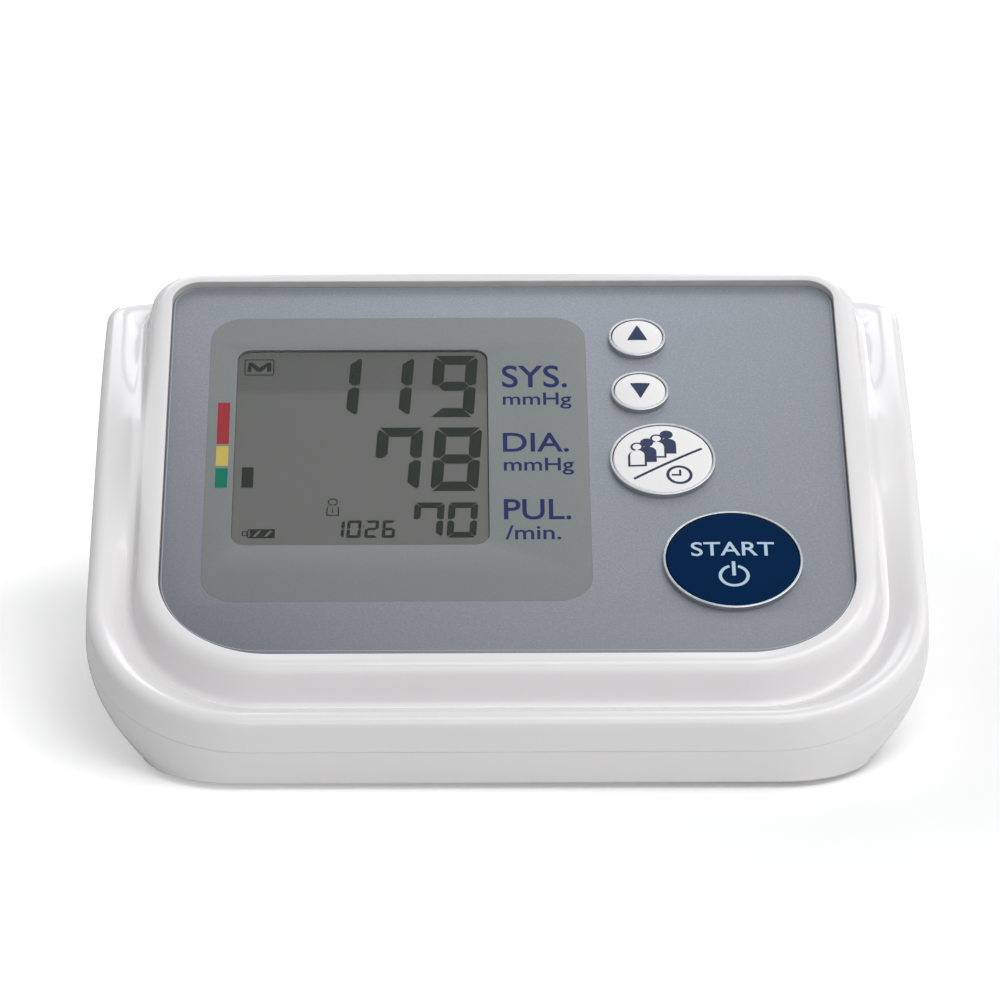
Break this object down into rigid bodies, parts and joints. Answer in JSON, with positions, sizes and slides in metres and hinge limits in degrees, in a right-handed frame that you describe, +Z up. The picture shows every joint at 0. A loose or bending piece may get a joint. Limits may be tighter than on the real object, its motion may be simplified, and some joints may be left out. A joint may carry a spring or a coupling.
{
  "type": "blood pressure monitor",
  "caption": "Desk unit of an automatic upper-arm blood pressure monitor: wedge-shaped white casing, sloped silver panel with a large display and round keys, air socket and power jack.",
  "frame": {"origin": "centre of the footprint, on the surface that the unit stands on", "axes": "+X to the right as seen by the user, +Y to the rear, +Z up"},
  "size_m": [0.141, 0.108, 0.06],
  "materials": {
    "casing_white": "fine satin",
    "panel_silver": "metallic silver lacquer, satin",
    "window_field": "smooth, slightly glossy",
    "display_glass": "glossy",
    "black_plastic": "matte",
    "bright_rim": "polished",
    "key_white": "satin",
    "key_navy": "satin",
    "rubber": "matte",
    "contact_rubber": "matte",
    "circuit_board": "solder mask, satin",
    "steel": "bright",
    "brass": "bright",
    "copper_coil": "lacquered wire",
    "air_tube": "soft, translucent white",
    "connector_white": "matte",
    "capacitor_sleeve": "shrink sleeve",
    "cell_sleeve": "printed sleeve, plain",
    "wire_red": "insulation",
    "wire_black": "insulation",
    "wire_yellow": "insulation"
  },
  "bodies": {
    "casing": {"lower_casing": "casing_white", "upper_casing": "casing_white", "front_panel": "panel_silver", "display_window": "window_field", "lcd_glass": "display_glass", "lcd_frame": "black_plastic", "contact_strips": "contact_rubber", "rim_start": "bright_rim", "rim_user": "bright_rim", "rim_up": "bright_rim", "rim_down": "bright_rim", "rubber_keypad": "rubber", "main_board": "circuit_board", "board_screws": "steel", "microcontroller": "black_plastic", "memory_chip": "black_plastic", "quartz_crystal": "steel", "buzzer": "black_plastic", "capacitors": "capacitor_sleeve", "wire_headers": "connector_white", "pressure_sensor": "connector_white", "pump_motor": "steel", "pump_head": "black_plastic", "pump_cushion_left": "rubber", "pump_cushion_right": "rubber", "valve_frame": "steel", "valve_coil": "copper_coil", "air_manifold": "black_plastic", "air_socket": "black_plastic", "tube_pump": "air_tube", "tube_socket": "air_tube", "tube_valve": "air_tube", "tube_sensor": "air_tube", "power_jack": "black_plastic", "battery_bay": "casing_white", "battery_1": "cell_sleeve", "battery_2": "cell_sleeve", "battery_3": "cell_sleeve", "battery_4": "cell_sleeve", "contact_springs": "steel", "contact_plates": "steel", "casing_screws": "steel", "rubber_feet": "rubber", "battery_wires": "wire_red", "motor_wires": "wire_black", "jack_wires": "wire_black", "valve_wires": "wire_yellow"},
    "start_key": {"button_start": "key_navy"},
    "user_key": {"button_user": "key_white"},
    "up_key": {"button_up": "key_white"},
    "down_key": {"button_down": "key_white"},
    "pump_rotor": {"motor_shaft": "steel", "pump_eccentric": "brass"},
    "valve_core": {"valve_plunger": "steel"},
    "door": {"battery_door": "casing_white"}
  },
  "joints": [
    {"name": "start_press", "type": "slide", "parent": "casing", "child": "start_key", "axis": [0, 0.4258, -0.9048], "range_m": [0, 0.0007], "stiffness_N_per_m": 800},
    {"name": "user_press", "type": "slide", "parent": "casing", "child": "user_key", "axis": [0, 0.4258, -0.9048], "range_m": [0, 0.0007], "stiffness_N_per_m": 800},
    {"name": "up_press", "type": "slide", "parent": "casing", "child": "up_key", "axis": [0, 0.4258, -0.9048], "range_m": [0, 0.0007], "stiffness_N_per_m": 800},
    {"name": "down_press", "type": "slide", "parent": "casing", "child": "down_key", "axis": [0, 0.4258, -0.9048], "range_m": [0, 0.0007], "stiffness_N_per_m": 800},
    {"name": "pump_turn", "type": "hinge", "parent": "casing", "child": "pump_rotor", "pos_m": [-0.0368, 0.03, 0.0191], "axis": [1, 0, 0], "continuous": true},
    {"name": "valve_pull", "type": "slide", "parent": "casing", "child": "valve_core", "axis": [-1, 0, 0], "range_m": [0, 0.001], "stiffness_N_per_m": 300},
    {"name": "door_swing", "type": "hinge", "parent": "casing", "child": "door", "pos_m": [0.01845, -0.01185, 0.0016], "axis": [-1, 0, 0], "range_deg": [0, 70]}
  ]
}
